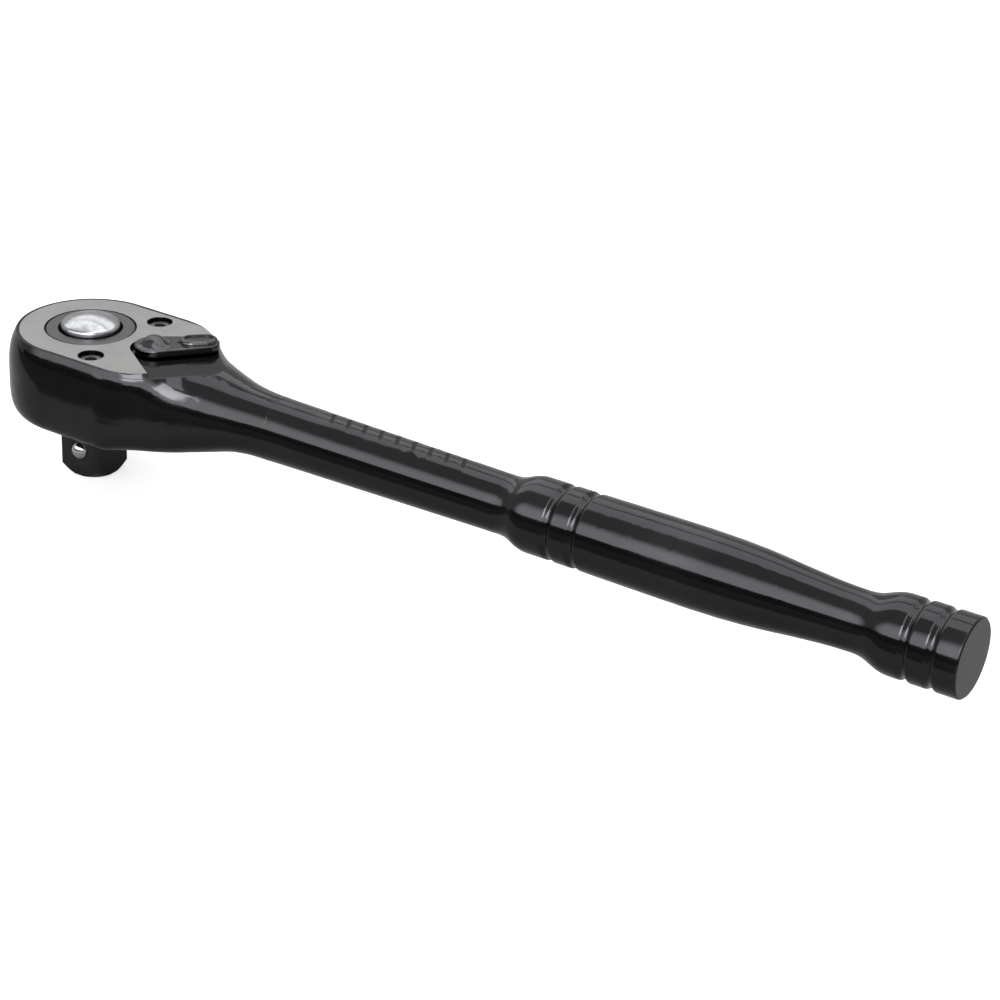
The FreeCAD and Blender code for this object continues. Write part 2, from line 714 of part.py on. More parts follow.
def stadium(radius, start, end, bottom, top):
    """Upright slot shape along X, both distances from the lever's pivot."""
    first = cylinder(radius, bottom, top, LEVER_PIVOT_X + start)
    last = cylinder(radius, bottom, top, LEVER_PIVOT_X + end)
    box = Part.makeBox(end - start, 2 * radius, top - bottom, vec(LEVER_PIVOT_X + start, -radius, bottom))
    return first.fuse(box).fuse(last)


def lever_outline_prism(bottom, top):
    """Round hub and round tip joined by their common tangents."""
    lean = math.degrees(math.asin((LEVER_HUB_RADIUS - LEVER_TIP_RADIUS) / LEVER_REACH))
    hub_x, hub_y = polar(LEVER_HUB_RADIUS, 90 - lean)
    tip_x, tip_y = polar(LEVER_TIP_RADIUS, 90 - lean)
    hub_x += LEVER_PIVOT_X
    tip_x += LEVER_PIVOT_X + LEVER_REACH
    outline = [(hub_x, hub_y), (tip_x, tip_y), (tip_x, -tip_y), (hub_x, -hub_y)]
    middle = polygon_prism(outline, bottom, top)
    hub = cylinder(LEVER_HUB_RADIUS, bottom, top, LEVER_PIVOT_X)
    tip = cylinder(LEVER_TIP_RADIUS, bottom, top, LEVER_PIVOT_X + LEVER_REACH)
    return middle.fuse(hub).fuse(tip).removeSplitter()


def soft_edged(shape, level, radius):
    """Round every edge that lies flat at one level."""
    edges = [edge for edge in shape.Edges if abs(edge.BoundBox.ZMin - level) < EDGE_TOLERANCE
             and edge.BoundBox.ZLength < EDGE_TOLERANCE]
    return shape.makeFillet(radius, edges)


def lever_boss():
    """Smooth round hill over the spindle, turned from one S-shaped edge."""
    curve = Part.BezierCurve()
    foot = LEVER_TOP - LEVER_EDGE_RADIUS
    crown = LEVER_TOP + LEVER_BOSS_RISE
    shoulder = 0.66 * LEVER_BOSS_RADIUS
    rim = vec(LEVER_BOSS_RADIUS, 0, LEVER_TOP)
    curve.setPoles([vec(0, 0, crown), vec(shoulder, 0, crown), vec(shoulder, 0, LEVER_TOP), rim])
    sides = Part.makePolygon([rim, vec(LEVER_BOSS_RADIUS, 0, foot), vec(0, 0, foot), vec(0, 0, crown)])
    boss = Part.Face(Part.Wire([curve.toShape()] + sides.Edges)).revolve(vec(0, 0), Z_AXIS, 360)
    boss.translate(vec(LEVER_PIVOT_X, 0))
    return boss


def lever_pad():
    """Raised thumb pad with a shallow long recess."""
    start = LEVER_REACH - LEVER_PAD_LENGTH
    top = LEVER_TOP + LEVER_PAD_RISE
    bottom = LEVER_TOP - LEVER_EDGE_RADIUS
    pad = stadium(LEVER_TIP_RADIUS - LEVER_EDGE_RADIUS, start, LEVER_REACH, bottom, top).removeSplitter()
    pad = soft_edged(pad, top, 2 * LEVER_EDGE_RADIUS)
    recess_bottom = top - LEVER_RECESS_DEPTH
    return pad.cut(stadium(LEVER_RECESS_RADIUS, start, LEVER_REACH, recess_bottom, top + 1))


def reversing_lever():
    """Cast lever: a bored hub under a round boss, a punched dot and a raised pad."""
    lever = lever_outline_prism(LEVER_BOTTOM, LEVER_TOP)
    lever = soft_edged(lever, LEVER_TOP, LEVER_EDGE_RADIUS)
    lever = soft_edged(lever, LEVER_BOTTOM, LEVER_EDGE_RADIUS)
    lever = lever.fuse(lever_boss()).fuse(lever_pad())
    dot_x = LEVER_PIVOT_X + LEVER_DOT_REACH
    lever = lever.cut(cylinder(LEVER_DOT_RADIUS, LEVER_TOP - LEVER_DOT_DEPTH, LEVER_TOP + 1, dot_x))
    bore_top = LEVER_TOP - LEVER_ROOF
    lever = lever.cut(cylinder(SPINDLE_NECK_RADIUS, LEVER_BOTTOM - 1, bore_top, LEVER_PIVOT_X))
    return turned(lever, LEVER_REST_ANGLE, LEVER_PIVOT_X)


def selector_spindle():
    """Barrel that carries the lever on a neck pressed into the lever's hub."""
    neck_top = LEVER_TOP - LEVER_ROOF
    barrel = cylinder(SPINDLE_RADIUS, SPINDLE_FOOT, LEVER_BOTTOM, LEVER_PIVOT_X)
    spindle = barrel.fuse(cylinder(SPINDLE_NECK_RADIUS, LEVER_BOTTOM - 1, neck_top, LEVER_PIVOT_X))
    level = lever_seal_level()
    groove = LEVER_SEAL_SECTION + RUNNING_GAP
    spindle = spindle.cut(tube(SPINDLE_RADIUS + 1, SPINDLE_RADIUS - 2 * groove, level - groove,
                               level + groove, LEVER_PIVOT_X))
    ring_bottom, ring_top = ring_levels()
    spindle = spindle.cut(tube(SPINDLE_RADIUS + 1, SPINDLE_RADIUS - RING_SEAT_DEPTH - FACE_GAP,
                               ring_bottom - FACE_GAP, ring_top + FACE_GAP, LEVER_PIVOT_X))
    hole = Part.makeCylinder(PLUNGER_RADIUS + RUNNING_GAP, plunger_bore_length(),
                             vec(LEVER_PIVOT_X - SPINDLE_RADIUS - 1, 0, PLUNGER_LEVEL), X_AXIS)
    return turned(spindle.cut(hole), LEVER_REST_ANGLE, LEVER_PIVOT_X)


def plunger_bore_length():
    """From 1 mm outside the barrel to a blind end short of the far wall."""
    return 2 * SPINDLE_RADIUS + 1 - 0.8


def plunger_tip_x():
    return LEVER_PIVOT_X - PAWL_BACK_RADIUS + RUNNING_GAP


def lever_plunger():
    """Round-nosed plunger that presses the pawl over."""
    nose_x = plunger_tip_x() + PLUNGER_RADIUS
    body_length = PLUNGER_LENGTH - PLUNGER_RADIUS
    rod = Part.makeCylinder(PLUNGER_RADIUS, body_length, vec(nose_x, 0, PLUNGER_LEVEL), X_AXIS)
    nose = Part.makeSphere(PLUNGER_RADIUS, vec(nose_x, 0, PLUNGER_LEVEL))
    return turned(rod.fuse(nose), LEVER_REST_ANGLE, LEVER_PIVOT_X)


def lever_spring():
    start = plunger_tip_x() + PLUNGER_LENGTH + RUNNING_GAP
    blind_end = LEVER_PIVOT_X - SPINDLE_RADIUS - 1 + plunger_bore_length()
    spring = coil(LEVER_SPRING_RADIUS, LEVER_SPRING_WIRE, LEVER_SPRING_TURNS, start,
                  blind_end - RUNNING_GAP)
    spring.rotate(vec(0, 0), vec(0, 1, 0), 90)
    spring.translate(vec(0, 0, PLUNGER_LEVEL))
    return turned(spring, LEVER_REST_ANGLE, LEVER_PIVOT_X)


def lever_seal_level():
    return (POCKET_TOP + FLAT) / 2


def lever_seal():
    ring = SPINDLE_BORE_RADIUS - SEAL_GAP - LEVER_SEAL_SECTION
    return torus(ring, LEVER_SEAL_SECTION, lever_seal_level(), LEVER_PIVOT_X)


def ring_levels():
    middle = (SPINDLE_FOOT + CAVITY_FLOOR) / 2
    return middle - RING_THICKNESS / 2, middle + RING_THICKNESS / 2


def lever_snap_ring():
    """Split ring that sits in the body's groove and holds the spindle down."""
    bottom, top = ring_levels()
    outer = SPINDLE_BORE_RADIUS + RING_SEAT_DEPTH - RUNNING_GAP
    inner = SPINDLE_RADIUS - RING_SEAT_DEPTH
    ring = tube(outer, inner, bottom, top, LEVER_PIVOT_X)
    gap = Part.makeBox(2 * outer, 1.2, 1, vec(LEVER_PIVOT_X, -0.6, bottom - 0.2))
    return ring.cut(gap)


# Pawl

def pawl():
    """Rocking pawl with teeth at both ends, shown with its near end in mesh."""
    front = polar(TOOTH_TIP_RADIUS - 1, PAWL_END_ANGLE)
    end = polar(PAWL_END_RADIUS, PAWL_END_ANGLE)
    upper = [front, end, PAWL_HORN]
    lower = [(x, -y) for x, y in reversed(upper)]
    blank = polygon_prism(upper + lower, PAWL_BOTTOM, PAWL_TOP)
    blank = blank.cut(cylinder(PAWL_BACK_RADIUS, 0, TOP, LEVER_PIVOT_X))
    relief = cylinder(TOOTH_TIP_RADIUS + TOOTH_TIP_GAP, 0, TOP)
    window = Part.makeBox(3 * HEAD_RADIUS, 2 * PAWL_TOOTHLESS_HALF, TOP, vec(0, -PAWL_TOOTHLESS_HALF, 0))
    blank = blank.cut(relief.common(window))
    teeth = gear_prism(TOOTH_GAP, 0, TOP)
    for rock in (PAWL_ROCK, -PAWL_ROCK):
        blank = blank.cut(turned(teeth, rock, LEVER_PIVOT_X))
    return turned(blank, -PAWL_ROCK, LEVER_PIVOT_X)


def main():
    os.makedirs("parts", exist_ok=True)
    nodes = {
        "handle_body": handle_body(),
        "cover_plate": cover_plate(),
        "drive_gear": drive_gear(),
        "gear_seal": gear_seal(),
        "thrust_washer": thrust_washer(),
        "release_button": release_button(),
        "release_pin": release_pin(),
        "button_spring": button_spring(),
        "detent_ball": detent_ball(),
        "reversing_lever": reversing_lever(),
        "selector_spindle": selector_spindle(),
        "lever_plunger": lever_plunger(),
        "lever_spring": lever_spring(),
        "lever_seal": lever_seal(),
        "lever_snap_ring": lever_snap_ring(),
        "pawl": pawl(),
    }
    for name, (x, y) in screw_places().items():
        nodes[name] = cover_screw(x, y)
    for name, shape in nodes.items():
        shape.exportStep("parts/" + name + ".step")
        print(name, "valid", shape.isValid(), "solids", len(shape.Solids), "mm3", round(shape.Volume, 2))


main()
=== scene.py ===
import json
import math
import bpy
from mathutils import Matrix, Vector


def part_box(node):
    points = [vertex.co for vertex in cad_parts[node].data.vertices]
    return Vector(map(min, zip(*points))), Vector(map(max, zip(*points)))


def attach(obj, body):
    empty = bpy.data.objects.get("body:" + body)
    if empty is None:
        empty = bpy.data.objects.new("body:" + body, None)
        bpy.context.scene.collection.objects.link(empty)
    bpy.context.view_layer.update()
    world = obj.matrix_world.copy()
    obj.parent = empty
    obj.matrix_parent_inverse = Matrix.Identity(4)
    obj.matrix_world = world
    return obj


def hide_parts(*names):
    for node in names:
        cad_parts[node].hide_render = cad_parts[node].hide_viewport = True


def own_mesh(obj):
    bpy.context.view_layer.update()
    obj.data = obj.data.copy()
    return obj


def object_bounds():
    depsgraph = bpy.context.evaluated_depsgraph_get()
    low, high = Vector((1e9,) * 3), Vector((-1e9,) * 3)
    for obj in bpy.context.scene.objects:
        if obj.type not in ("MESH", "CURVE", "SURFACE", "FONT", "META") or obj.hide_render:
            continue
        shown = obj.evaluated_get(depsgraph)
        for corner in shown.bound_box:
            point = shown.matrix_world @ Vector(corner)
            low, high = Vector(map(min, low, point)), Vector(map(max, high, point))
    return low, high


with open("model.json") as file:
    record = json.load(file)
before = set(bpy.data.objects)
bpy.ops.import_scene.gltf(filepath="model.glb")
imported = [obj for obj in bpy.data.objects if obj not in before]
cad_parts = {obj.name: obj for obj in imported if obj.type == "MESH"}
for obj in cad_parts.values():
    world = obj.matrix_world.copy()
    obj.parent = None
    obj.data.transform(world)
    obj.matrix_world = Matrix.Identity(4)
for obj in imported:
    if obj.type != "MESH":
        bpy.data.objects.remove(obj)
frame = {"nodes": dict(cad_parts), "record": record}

mm = 0.001
cadLow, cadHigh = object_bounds()
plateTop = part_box("cover_plate")[1].z
mounts = {mount["name"]: mount for mount in frame["record"]["mounts"]}
axisHeight = mounts["handle_butt"]["pos_m"][2]
mixFactor, mixFirst, mixSecond = 0, 6, 7  # inputs of a colour Mix node


def linear(hexColour):
    # sRGB hex to the linear RGBA that shaders take
    channels = []
    for start in (0, 2, 4):
        value = int(hexColour[start:start + 2], 16) / 255
        channels.append(value / 12.92 if value <= 0.04045 else ((value + 0.055) / 1.055) ** 2.4)
    return (*channels, 1.0)


def addNode(tree, kind, inputs=None, **settings):
    # an input is either another node's output, which is linked, or a plain value
    node = tree.nodes.new("ShaderNode" + kind)
    for name, value in settings.items():
        setattr(node, name, value)
    for name, value in (inputs or {}).items():
        if isinstance(value, bpy.types.NodeSocket):
            tree.links.new(value, node.inputs[name])
        else:
            node.inputs[name].default_value = value
    return node


def newMaterial(name):
    material = bpy.data.materials.new(name)
    material.use_nodes = True
    tree = material.node_tree
    tree.nodes.clear()
    return material, tree, addNode(tree, "TexCoord").outputs["Object"]


def closeMaterial(tree, inputs, bumps, edge):
    # a rounded edge first, then each bump of (height, depth, strength) stacked on it
    normal = addNode(tree, "Bevel", {"Radius": edge}, samples=6).outputs["Normal"]
    for height, depth, strength in bumps:
        normal = addNode(tree, "Bump", {
            "Height": height, "Distance": depth, "Strength": strength, "Normal": normal}).outputs["Normal"]
    shader = addNode(tree, "BsdfPrincipled", {**inputs, "Normal": normal})
    addNode(tree, "OutputMaterial", {"Surface": shader.outputs["BSDF"]})


# Black chrome over a polished forging: a dark mirror, so the lights lie on it as clean long bands.
# The neck was blended by hand on a belt, which leaves broken streaks in its reflections there. The
# flat under the lever, and the body above its level, are painted a darker, even tone: painted shade under
# the lever.
blackChrome = {
    "colour": "3a3a3c", "hazeColour": "4c4c4e", "flatShadeColour": "38383a", "flatDrop": 0.85 * mm,
    "flatFade": (0.12 * mm, 0.04 * mm),
    "roughness": (0.07, 0.15), "edge": 0.2 * mm, "hazeSize": 16 * mm, "beltMarkSize": 6.4 * mm,
    "beltMarkStretch": (0.3, 1, 1.6), "beltMarkDepth": 0.5 * mm, "beltFrom": 13 * mm, "beltTo": 40 * mm,
    "beltFadeIn": 2 * mm, "beltFadeOut": 14 * mm, "scratchWidth": 0.25 * mm, "scratchStretch": (0.03, 1, 1),
    "scratchDepth": 0.002 * mm}


def makeBlackChrome():
    material, tree, position = newMaterial("blackChrome")
    haze = addNode(tree, "TexNoise", {
        "Vector": position, "Scale": 1 / blackChrome["hazeSize"], "Detail": 4.0, "Roughness": 0.6}
    ).outputs["Fac"]
    along = addNode(tree, "Mapping", {
        "Vector": position, "Scale": blackChrome["scratchStretch"]}).outputs["Vector"]
    scratch = addNode(tree, "TexNoise", {
        "Vector": along, "Scale": 1 / blackChrome["scratchWidth"], "Detail": 2.0}).outputs["Fac"]
    scratchLine = addNode(tree, "MapRange", {
        "Value": scratch, "From Min": 0.55, "From Max": 0.75}).outputs["Result"]
    beltWay = addNode(tree, "Mapping", {
        "Vector": position, "Scale": blackChrome["beltMarkStretch"]}).outputs["Vector"]
    belt = addNode(tree, "TexNoise", {
        "Vector": beltWay, "Scale": 1 / blackChrome["beltMarkSize"], "Detail": 3.0}).outputs["Fac"]
    places = addNode(tree, "SeparateXYZ", {"Vector": position})
    pastHead = addNode(tree, "MapRange", {
        "Value": places.outputs["X"], "From Min": blackChrome["beltFrom"],
        "From Max": blackChrome["beltFrom"] + blackChrome["beltFadeIn"]}).outputs["Result"]
    beforeShank = addNode(tree, "MapRange", {
        "Value": places.outputs["X"], "From Min": blackChrome["beltTo"] - blackChrome["beltFadeOut"],
        "From Max": blackChrome["beltTo"], "To Min": 1.0, "To Max": 0.0}).outputs["Result"]
    flat = plateTop - blackChrome["flatDrop"]
    fadeBelow, fadeAbove = blackChrome["flatFade"]
    belowFlat = addNode(tree, "MapRange", {
        "Value": places.outputs["Z"], "From Min": flat - fadeBelow, "From Max": flat - fadeAbove,
        "To Min": 1.0, "To Max": 0.0}).outputs["Result"]
    alongNeck = addNode(tree, "Math", {0: pastHead, 1: beforeShank}, operation="MULTIPLY").outputs["Value"]
    inNeck = addNode(tree, "Math", {0: alongNeck, 1: belowFlat}, operation="MULTIPLY").outputs["Value"]
    beltHeight = addNode(tree, "Math", {0: belt, 1: inNeck}, operation="MULTIPLY").outputs["Value"]
    low, high = blackChrome["roughness"]
    roughness = addNode(tree, "MapRange", {
        "Value": haze, "From Min": 0.35, "From Max": 0.7, "To Min": low, "To Max": high}).outputs["Result"]
    hazeAmount = addNode(tree, "MapRange", {
        "Value": haze, "From Min": 0.5, "From Max": 0.85, "To Max": 0.5}).outputs["Result"]
    forged = addNode(tree, "Mix", {
        mixFactor: hazeAmount, mixFirst: linear(blackChrome["colour"]),
        mixSecond: linear(blackChrome["hazeColour"])}, data_type="RGBA").outputs[2]
    # painted shade: at and above the flat's level the body takes the darker flat colour, standing in for the
    # shade under the lever
    colour = addNode(tree, "Mix", {
        mixFactor: belowFlat, mixFirst: linear(blackChrome["flatShadeColour"]), mixSecond: forged},
        data_type="RGBA").outputs[2]
    closeMaterial(
        tree, {"Metallic": 1.0, "Base Color": colour, "Roughness": roughness},
        [(beltHeight, blackChrome["beltMarkDepth"], 0.22), (scratchLine, blackChrome["scratchDepth"], 0.12)],
        blackChrome["edge"])
    return material


# Nickel-plated steel, ground flat and lapped: an even satin grey with hair-fine marks. Below its top
# face, on the walls of the screw counterbores and the hub bore, it is painted near black as shade.
satinNickel = {
    "colour": "979796", "shadeColour": "919190", "wallShadeColour": "121212", "roughness": (0.38, 0.46),
    "grindWidth": 0.12 * mm, "grindStretch": (0.04, 1, 1), "grindDepth": 0.004 * mm, "cloudSize": 5 * mm,
    "edge": 0.1 * mm, "wallStart": 0.12 * mm}


def makeSatinNickel():
    material, tree, position = newMaterial("satinNickel")
    along = addNode(tree, "Mapping", {
        "Vector": position, "Scale": satinNickel["grindStretch"]}).outputs["Vector"]
    grind = addNode(tree, "TexNoise", {
        "Vector": along, "Scale": 1 / satinNickel["grindWidth"], "Detail": 2.0}).outputs["Fac"]
    cloud = addNode(tree, "TexNoise", {
        "Vector": position, "Scale": 1 / satinNickel["cloudSize"], "Detail": 3.0}).outputs["Fac"]
    cloudAmount = addNode(tree, "MapRange", {
        "Value": cloud, "From Min": 0.35, "From Max": 0.65}).outputs["Result"]
    face = addNode(tree, "Mix", {
        mixFactor: cloudAmount, mixFirst: linear(satinNickel["shadeColour"]),
        mixSecond: linear(satinNickel["colour"])}, data_type="RGBA").outputs[2]
    height = addNode(tree, "SeparateXYZ", {"Vector": position}).outputs["Z"]
    # painted shade: below its top face the plate turns near black, in the counterbores and the hub bore
    wall = addNode(tree, "MapRange", {
        "Value": height, "From Min": plateTop - 1.5 * satinNickel["wallStart"],
        "From Max": plateTop - satinNickel["wallStart"], "To Min": 1.0, "To Max": 0.0}).outputs["Result"]
    colour = addNode(tree, "Mix", {
        mixFactor: wall, mixFirst: face, mixSecond: linear(satinNickel["wallShadeColour"])},
        data_type="RGBA").outputs[2]
    low, high = satinNickel["roughness"]
    roughness = addNode(tree, "MapRange", {
        "Value": grind, "From Min": 0.3, "From Max": 0.7, "To Min": low, "To Max": high}).outputs["Result"]
    closeMaterial(
        tree, {"Metallic": 1.0, "Base Color": colour, "Roughness": roughness},
        [(grind, satinNickel["grindDepth"], 0.25)], satinNickel["edge"])
    return material


# Hardened drive steel: the hub's ground top shows as a darker satin grey ring, while the square and
# the rest keep the black of the oil quench, matte with a fine tooth from tumbling.
quenchedSteel = {
    "hubColour": "616163", "hubShade": "505052", "blackColour": "414143", "hubRoughness": 0.36,
    "blackRoughness": 0.34, "hubStart": 0.4 * mm, "hubEnd": 0.2 * mm, "grain": 0.35 * mm,
    "grainDepth": 0.008 * mm, "edge": 0.25 * mm}


def makeQuenchedSteel():
    material, tree, position = newMaterial("quenchedSteel")
    height = addNode(tree, "SeparateXYZ", {"Vector": position}).outputs["Z"]
    hub = addNode(tree, "MapRange", {
        "Value": height, "From Min": plateTop - quenchedSteel["hubStart"],
        "From Max": plateTop - quenchedSteel["hubEnd"]}).outputs["Result"]
    grain = addNode(tree, "TexNoise", {
        "Vector": position, "Scale": 1 / quenchedSteel["grain"], "Detail": 3.0}).outputs["Fac"]
    hubTone = addNode(tree, "Mix", {
        mixFactor: grain, mixFirst: linear(quenchedSteel["hubShade"]),
        mixSecond: linear(quenchedSteel["hubColour"])}, data_type="RGBA").outputs[2]
    colour = addNode(tree, "Mix", {
        mixFactor: hub, mixFirst: linear(quenchedSteel["blackColour"]), mixSecond: hubTone},
        data_type="RGBA").outputs[2]
    roughness = addNode(tree, "MapRange", {
        "Value": hub, "To Min": quenchedSteel["blackRoughness"], "To Max": quenchedSteel["hubRoughness"]}
    ).outputs["Result"]
    closeMaterial(
        tree, {"Metallic": 1.0, "Base Color": colour, "Roughness": roughness},
        [(grain, quenchedSteel["grainDepth"], 0.3)], quenchedSteel["edge"])
    return material


# Bright chrome: a near-white mirror. The pressed button keeps soft dimples from its polishing wheel,
# and thumbs have dulled it in scattered patches; the bearing ball is smoother.
buttonChrome = {"colour": "b2b3b5", "dullColour": "8c8d90", "roughness": (0.16, 0.3), "dimple": 2.8 * mm,
                "depth": 0.05 * mm, "edge": 0.3 * mm}
ballChrome = {"colour": "d4d5d7", "dullColour": "a4a5a8", "roughness": (0.07, 0.16), "dimple": 2.2 * mm,
              "depth": 0.02 * mm, "edge": 0.1 * mm}

# Dark plated steels, each a little rough from its blasting or tumbling before the plating.
screwOxide = {"colour": "79797b", "dullColour": "4a4a4c", "roughness": (0.3, 0.44), "dimple": 1.0 * mm,
              "depth": 0.01 * mm, "edge": 0.15 * mm}
castLeverPlating = {"colour": "525254", "dullColour": "3a3a3c", "roughness": (0.14, 0.26),
                    "dimple": 1.8 * mm, "depth": 0.03 * mm, "edge": 0.15 * mm}
groundSteel = {"colour": "8f8f92", "dullColour": "76767a", "roughness": (0.22, 0.34), "dimple": 1.2 * mm,
               "depth": 0.005 * mm, "edge": 0.08 * mm}


def makeMetal(name, finish):
    material, tree, position = newMaterial(name)
    dimple = addNode(tree, "TexNoise", {
        "Vector": position, "Scale": 1 / finish["dimple"], "Detail": 3.0, "Roughness": 0.55}
    ).outputs["Fac"]
    dullness = addNode(tree, "MapRange", {
        "Value": dimple, "From Min": 0.45, "From Max": 0.75}).outputs["Result"]
    colour = addNode(tree, "Mix", {
        mixFactor: dullness, mixFirst: linear(finish["colour"]), mixSecond: linear(finish["dullColour"])},
        data_type="RGBA").outputs[2]
    low, high = finish["roughness"]
    roughness = addNode(tree, "MapRange", {
        "Value": dimple, "From Min": 0.3, "From Max": 0.7, "To Min": low, "To Max": high}).outputs["Result"]
    closeMaterial(
        tree, {"Metallic": 1.0, "Base Color": colour, "Roughness": roughness},
        [(dimple, finish["depth"], 0.4)], finish["edge"])
    return material


# Black nitrile rubber: soft matte with a dusty bloom.
nitrile = {"colour": "161616", "bloomColour": "2a2a29", "grain": 0.8 * mm, "grainDepth": 0.01 * mm,
           "ior": 1.52, "roughness": 0.6, "edge": 0.05 * mm}


def makeNitrile():
    material, tree, position = newMaterial("nitrileRubber")
    grain = addNode(tree, "TexNoise", {
        "Vector": position, "Scale": 1 / nitrile["grain"], "Detail": 4.0}).outputs["Fac"]
    bloom = addNode(tree, "MapRange", {"Value": grain, "From Min": 0.4, "From Max": 0.8}).outputs["Result"]
    colour = addNode(tree, "Mix", {
        mixFactor: bloom, mixFirst: linear(nitrile["colour"]), mixSecond: linear(nitrile["bloomColour"])},
        data_type="RGBA").outputs[2]
    closeMaterial(
        tree, {"IOR": nitrile["ior"], "Roughness": nitrile["roughness"], "Base Color": colour},
        [(grain, nitrile["grainDepth"], 0.3)], nitrile["edge"])
    return material


def dressPieces():
    ground = makeMetal("groundSteel", groundSteel)
    plating = makeMetal("castLeverPlating", castLeverPlating)
    finishes = {
        "body_black": makeBlackChrome(), "plate_steel": makeSatinNickel(),
        "drive_steel": makeQuenchedSteel(),
        "button_chrome": makeMetal("buttonChrome", buttonChrome),
        "ball_chrome": makeMetal("ballChrome", ballChrome),
        "screw_black": makeMetal("screwOxide", screwOxide), "lever_black": plating, "spindle_steel": plating,
        "seal_rubber": makeNitrile(), "washer_steel": ground, "pin_steel": ground, "spring_steel": ground,
        "pawl_steel": ground}
    slots = {part["node"]: part["material_slot"] for part in frame["record"]["subparts"]}
    for name, piece in frame["nodes"].items():
        piece.data.materials.clear()
        piece.data.materials.append(finishes[slots[name]])


# The button's spring is rigid in the CAD model. A copy with its own mesh stands in for it and
# rides with the drive.
def makeReturnSpring():
    rigid = frame["nodes"]["button_spring"]
    spring = bpy.data.objects.new("returnSpring", rigid.data.copy())
    spring.matrix_world = rigid.matrix_world.copy()
    bpy.context.scene.collection.objects.link(spring)
    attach(spring, "drive")
    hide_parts("button_spring")
    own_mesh(spring)


# The camera looks down on the handle from the butt's side, with the drive end far and left.
view = {"azimuth": 31.44, "elevation": 27.0, "roll": 2.75, "distance": 462.7 * mm, "lens": 93.6,
        "sensor": 36.0, "clip": (0.01, 20.0), "alongHandle": 94.6 * mm, "aboveAxis": 0.46 * mm}


def placeCamera():
    azimuth, elevation = math.radians(view["azimuth"]), math.radians(view["elevation"])
    toCamera = Vector((math.sin(azimuth) * math.cos(elevation), -math.cos(azimuth) * math.cos(elevation),
                       math.sin(elevation)))
    target = Vector((view["alongHandle"], 0.0, axisHeight + view["aboveAxis"]))
    camera = bpy.data.objects.new("camera", bpy.data.cameras.new("camera"))
    camera.data.lens = view["lens"]
    camera.data.sensor_width = view["sensor"]
    camera.data.clip_start, camera.data.clip_end = view["clip"]
    turn = toCamera.to_track_quat("Z", "Y").to_matrix() @ Matrix.Rotation(math.radians(view["roll"]), 3, "Z")
    camera.matrix_world = Matrix.Translation(target + toCamera * view["distance"]) @ turn.to_4x4()
    bpy.context.scene.collection.objects.link(camera)
    bpy.context.scene.camera = camera


# Pale floor that glows faintly from below, as a light table does, and two studio cards that only
# reflections see: a grey one under the tool, and a black one in front of it that stands up at its far
# edge, for the dark band along the tool's near side.
floor = {"size": 8.0, "colour": "d8d8d8", "paleColour": "dcdcdc", "drop": 0.1 * mm, "glow": 0.6}
cards = {"greyColour": "a2a2a2", "paleGrey": "a5a5a5", "blackColour": "585858", "paleBlack": "5a5a5a",
         "lift": 0.05 * mm, "left": -2.5, "right": 2.5, "back": 2.5, "blackFrom": -55 * mm, "blackTo": -0.9,
         "blackHeight": 0.27}


def makePaper(name, colour, secondColour, glow=0.0):
    material, tree, position = newMaterial(name)
    fleck = addNode(tree, "TexNoise", {"Vector": position, "Scale": 3.0}).outputs["Fac"]
    tone = addNode(tree, "Mix", {
        mixFactor: fleck, mixFirst: linear(colour), mixSecond: linear(secondColour)},
        data_type="RGBA").outputs[2]
    shader = addNode(tree, "BsdfPrincipled", {
        "Base Color": tone, "Roughness": 0.9, "IOR": 1.4, "Emission Color": linear("ffffff"),
        "Emission Strength": glow})
    addNode(tree, "OutputMaterial", {"Surface": shader.outputs["BSDF"]})
    return material


def makeSheet(name, outline, left, right, material):
    # a sheet that follows an outline of (y, z) points and runs along X
    corners = [(x, y, z) for y, z in outline for x in (left, right)]
    faces = [(2 * row, 2 * row + 1, 2 * row + 3, 2 * row + 2) for row in range(len(outline) - 1)]
    mesh = bpy.data.meshes.new(name)
    mesh.from_pydata(corners, [], faces)
    mesh.materials.append(material)
    sheet = bpy.data.objects.new(name, mesh)
    bpy.context.scene.collection.objects.link(sheet)
    return sheet


def makeStage():
    ground = cadLow.z - floor["drop"]
    half = floor["size"] / 2
    makeSheet("floor", [(-half, ground), (half, ground)], -half, half,
              makePaper("lightTable", floor["colour"], floor["paleColour"], floor["glow"]))
    level = ground + cards["lift"]
    grey = makeSheet("greyCard", [(cards["blackFrom"], level), (cards["back"], level)], cards["left"],
                     cards["right"], makePaper("greyCard", cards["greyColour"], cards["paleGrey"]))
    black = makeSheet("blackCard", [(cards["blackTo"], cards["blackHeight"]), (cards["blackTo"], level),
                                    (cards["blackFrom"], level)], cards["left"], cards["right"],
                      makePaper("blackCard", cards["blackColour"], cards["paleBlack"]))
    for card in (grey, black):
        card.visible_camera = False
        card.visible_diffuse = False
        card.visible_shadow = False
        card.visible_transmission = False
        card.visible_volume_scatter = False


# Two long panels overhead with a narrow gap, two key panels that only glossy surfaces show, and an
# even surround that brightens towards the front.
lights = {
    "panelHeight": 0.9, "panelFromX": -1.7, "panelToX": 0.9, "nearPanel": (0.05, 0.54), "nearRadiance": 1.6,
    "farPanel": (0.64, 1.3), "farRadiance": 1.3, "surround": 0.55, "front": 3.0,
    "frontWay": (0.0, -0.89, 0.455), "frontSquash": (0.35, 1.0, 1.0), "frontFade": (0.86, 0.985),
    "keyPlace": (0.27, -0.12, 0.9), "keySize": (0.42, 0.8), "keyRadiance": 2.2,
    "frontPlace": (0.35, -0.7, 0.66), "frontSize": (0.5, 0.5), "frontRadiance": 7.0}


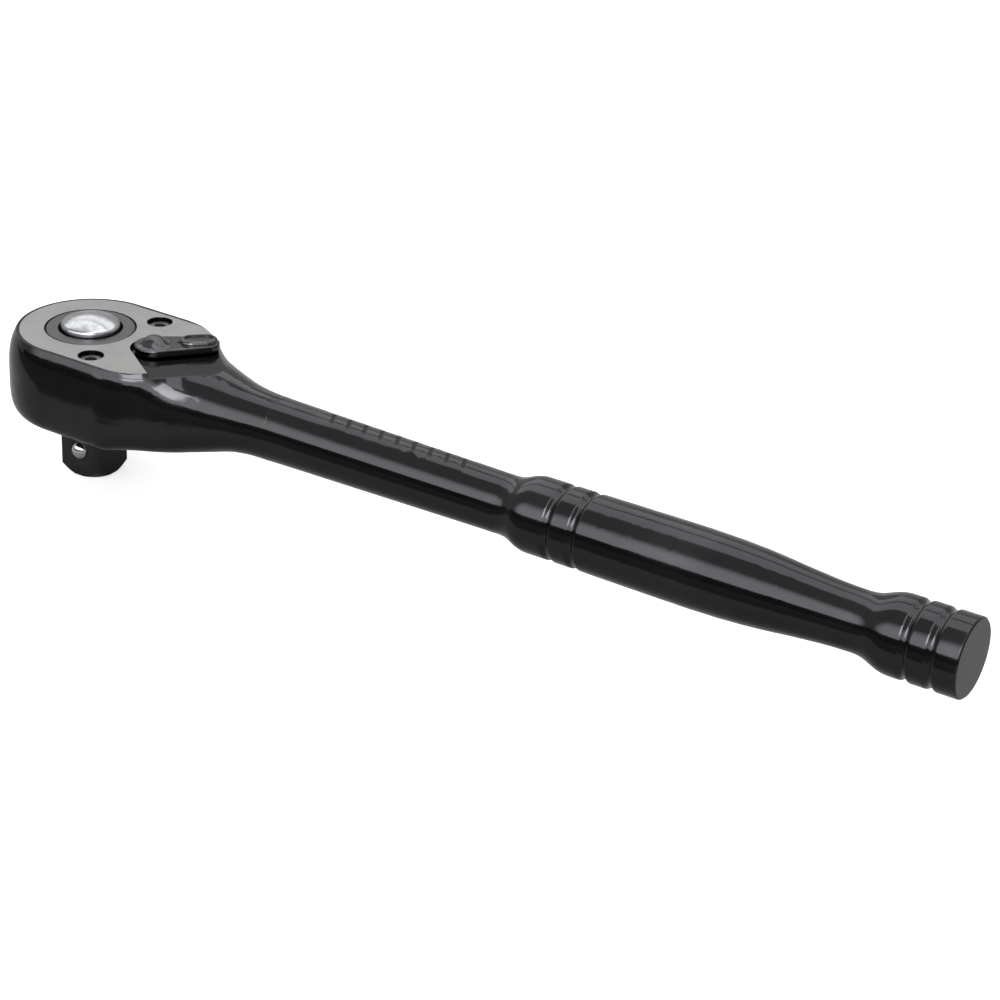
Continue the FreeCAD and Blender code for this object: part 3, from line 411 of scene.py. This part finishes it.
def addPanel(name, place, size, radiance, aim):
    light = bpy.data.lights.new(name, "AREA")
    light.shape = "RECTANGLE"
    light.size, light.size_y = size
    light.energy = radiance * math.pi * size[0] * size[1]
    panel = bpy.data.objects.new(name, light)
    panel.location = place
    panel.rotation_euler = (Vector(place) - Vector(aim)).to_track_quat("Z", "Y").to_euler()
    bpy.context.scene.collection.objects.link(panel)
    return panel


def makeLight():
    middleX = (lights["panelToX"] + lights["panelFromX"]) / 2
    width = lights["panelToX"] - lights["panelFromX"]
    for name in ("near", "far"):
        low, high = lights[name + "Panel"]
        middleY = (low + high) / 2
        addPanel(name + "Panel", (middleX, middleY, lights["panelHeight"]), (width, high - low),
                 lights[name + "Radiance"], (middleX, middleY, 0.0))
    for name in ("key", "front"):
        place = lights[name + "Place"]
        aim = (place[0], place[1], 0.0) if name == "key" else (0.0, 0.0, 0.0)
        panel = addPanel(name + "Panel", place, lights[name + "Size"], lights[name + "Radiance"], aim)
        panel.visible_diffuse = False  # highlights without shadows
    world = bpy.data.worlds.new("surround")
    bpy.context.scene.world = world
    world.use_nodes = True
    tree = world.node_tree
    tree.nodes.clear()
    way = addNode(tree, "TexCoord").outputs["Generated"]
    squashed = addNode(tree, "VectorMath", {
        0: way, 1: lights["frontSquash"]}, operation="MULTIPLY").outputs["Vector"]
    unit = addNode(tree, "VectorMath", {0: squashed}, operation="NORMALIZE").outputs["Vector"]
    closeness = addNode(tree, "VectorMath", {
        0: unit, 1: lights["frontWay"]}, operation="DOT_PRODUCT").outputs["Value"]
    fadeFrom, fadeTo = lights["frontFade"]
    strength = addNode(tree, "MapRange", {
        "Value": closeness, "From Min": fadeFrom, "From Max": fadeTo, "To Min": lights["surround"],
        "To Max": lights["front"]}, interpolation_type="SMOOTHSTEP").outputs["Result"]
    background = addNode(tree, "Background", {"Color": linear("ffffff"), "Strength": strength})
    addNode(tree, "OutputWorld", {"Surface": background.outputs["Background"]})
    bpy.context.scene.view_settings.view_transform = "Standard"


placeCamera()
print("stage: camera placed")
dressPieces()
print("stage: materials on", len(frame["nodes"]), "pieces")
makeReturnSpring()
print("stage: return spring")
makeStage()
makeLight()
print("stage: floor, cards and lights")
